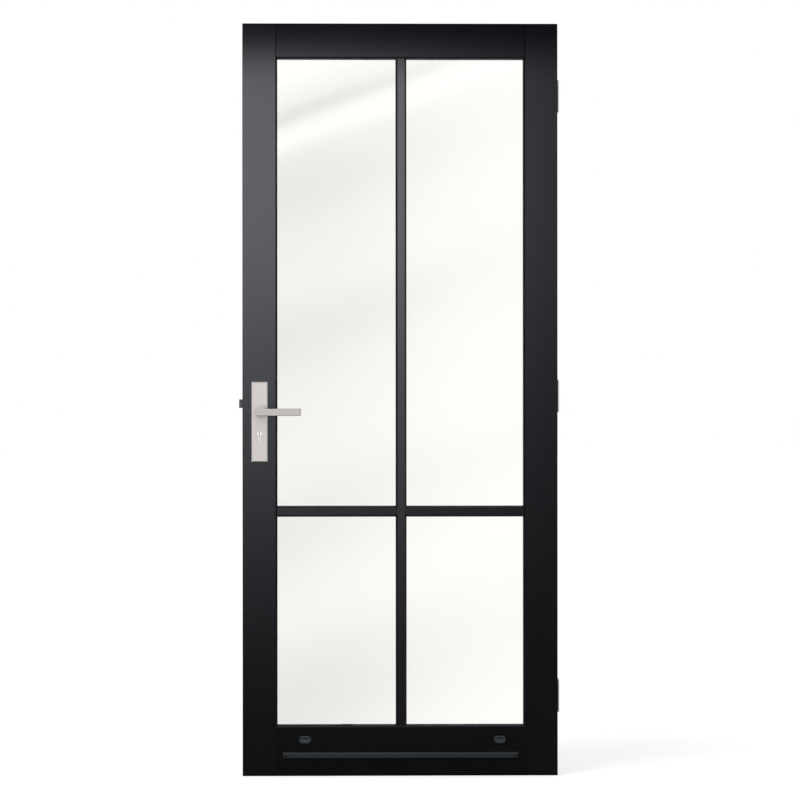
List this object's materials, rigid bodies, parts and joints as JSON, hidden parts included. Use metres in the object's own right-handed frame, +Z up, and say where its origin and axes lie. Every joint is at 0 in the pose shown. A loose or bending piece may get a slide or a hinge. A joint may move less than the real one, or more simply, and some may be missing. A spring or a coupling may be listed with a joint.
{
  "type": "glass door",
  "caption": "Glazed outer door leaf of black painted timber with glazing bars, lever handles, mortise lock, weather bar and butt hinges.",
  "frame": {"origin": "middle of the leaf's foot", "axes": "+Z up, +X to the hinges as seen from outside, -Y out through the weather face"},
  "size_m": [0.8973, 0.182, 2.1],
  "materials": {
    "painted_timber": "satin black paint",
    "bare_timber": "planed",
    "glass": "clear",
    "black_seal": "matt",
    "black_plastic": "matt",
    "grey_plastic": "satin",
    "nylon": "satin",
    "black_aluminium": "powder coated",
    "grey_aluminium": "powder coated",
    "brushed_stainless": "brushed",
    "plated_steel": "zinc plated",
    "spring_steel": "blued",
    "plated_brass": "satin nickel plated"
  },
  "bodies": {
    "jamb_side": {"hinge_top_frame_flap": "brushed_stainless", "hinge_middle_frame_flap": "brushed_stainless", "hinge_bottom_frame_flap": "brushed_stainless", "hinge_pins": "brushed_stainless"},
    "leaf": {"lock_stile": "painted_timber", "hinge_stile": "painted_timber", "top_rail": "painted_timber", "bottom_rail": "painted_timber", "bead_top": "painted_timber", "bead_bottom": "painted_timber", "bead_lock_side": "painted_timber", "bead_hinge_side": "painted_timber", "bar_outer_upright": "painted_timber", "bar_outer_left": "painted_timber", "bar_outer_right": "painted_timber", "bar_inner_upright": "painted_timber", "bar_inner_left": "painted_timber", "bar_inner_right": "painted_timber", "frame_dowels": "bare_timber", "outer_pane": "glass", "inner_pane": "glass", "outer_glazing_seal": "black_seal", "inner_glazing_seal": "black_seal", "edge_sealant": "black_seal", "bar_tapes": "black_seal", "setting_blocks": "black_plastic", "glazing_shim": "black_plastic", "drain_caps": "grey_plastic", "weather_bar_caps": "grey_plastic", "lever_bushes": "nylon", "spacer_frame": "black_aluminium", "spacer_grid": "black_aluminium", "weather_bar": "grey_aluminium", "outer_backplate": "brushed_stainless", "inner_backplate": "brushed_stainless", "lock_faceplate": "brushed_stainless", "hinge_top_leaf_flap": "brushed_stainless", "hinge_middle_leaf_flap": "brushed_stainless", "hinge_bottom_leaf_flap": "brushed_stainless", "bead_screws": "plated_steel", "weather_bar_screws": "plated_steel", "plate_screws": "plated_steel", "faceplate_screws": "plated_steel", "hinge_screws": "plated_steel", "cylinder_screw": "plated_steel", "lock_case": "plated_steel", "lock_cover": "plated_steel", "latch_spring": "spring_steel", "follower_spring": "spring_steel", "cylinder_body": "plated_brass"},
    "lever_set": {"outer_lever": "brushed_stainless", "inner_lever": "brushed_stainless", "lever_grub_screws": "plated_steel", "spindle": "plated_steel", "follower": "plated_steel"},
    "latch": {"latch_bolt": "plated_steel"},
    "deadbolt": {"dead_bolt": "plated_steel"},
    "key_set": {"cylinder_plug_outer": "plated_brass", "cylinder_plug_inner": "plated_brass", "cylinder_cam": "plated_brass"}
  },
  "joints": [
    {"name": "door_swing", "type": "hinge", "parent": "jamb_side", "child": "leaf", "pos_m": [0.44125, 0.0345, 1.05], "axis": [0, 0, -1], "range_deg": [0, 175]},
    {"name": "lever_turn", "type": "hinge", "parent": "leaf", "child": "lever_set", "pos_m": [-0.392, 0, 1.015], "axis": [0, 1, 0], "range_deg": [0, 40], "stiffness_Nm_per_rad": 1.2, "springref_deg": -40.11, "deforming": ["follower_spring"]},
    {"name": "latch_slide", "type": "slide", "parent": "leaf", "child": "latch", "axis": [1, 0, 0], "range_m": [0, 0.01], "deforming": ["latch_spring"]},
    {"name": "key_turn", "type": "hinge", "parent": "leaf", "child": "key_set", "pos_m": [-0.392, 0, 0.954], "axis": [0, -1, 0], "range_deg": [0, 360]},
    {"name": "deadbolt_slide", "type": "slide", "parent": "leaf", "child": "deadbolt", "axis": [-1, 0, 0], "range_m": [0, 0.02]}
  ],
  "couplings": [
    {"joint": "latch_slide", "follows": "lever_turn", "m_per_rad": 0.01432},
    {"joint": "key_turn", "follows": "deadbolt_slide", "rad_per_m": 314.16}
  ]
}
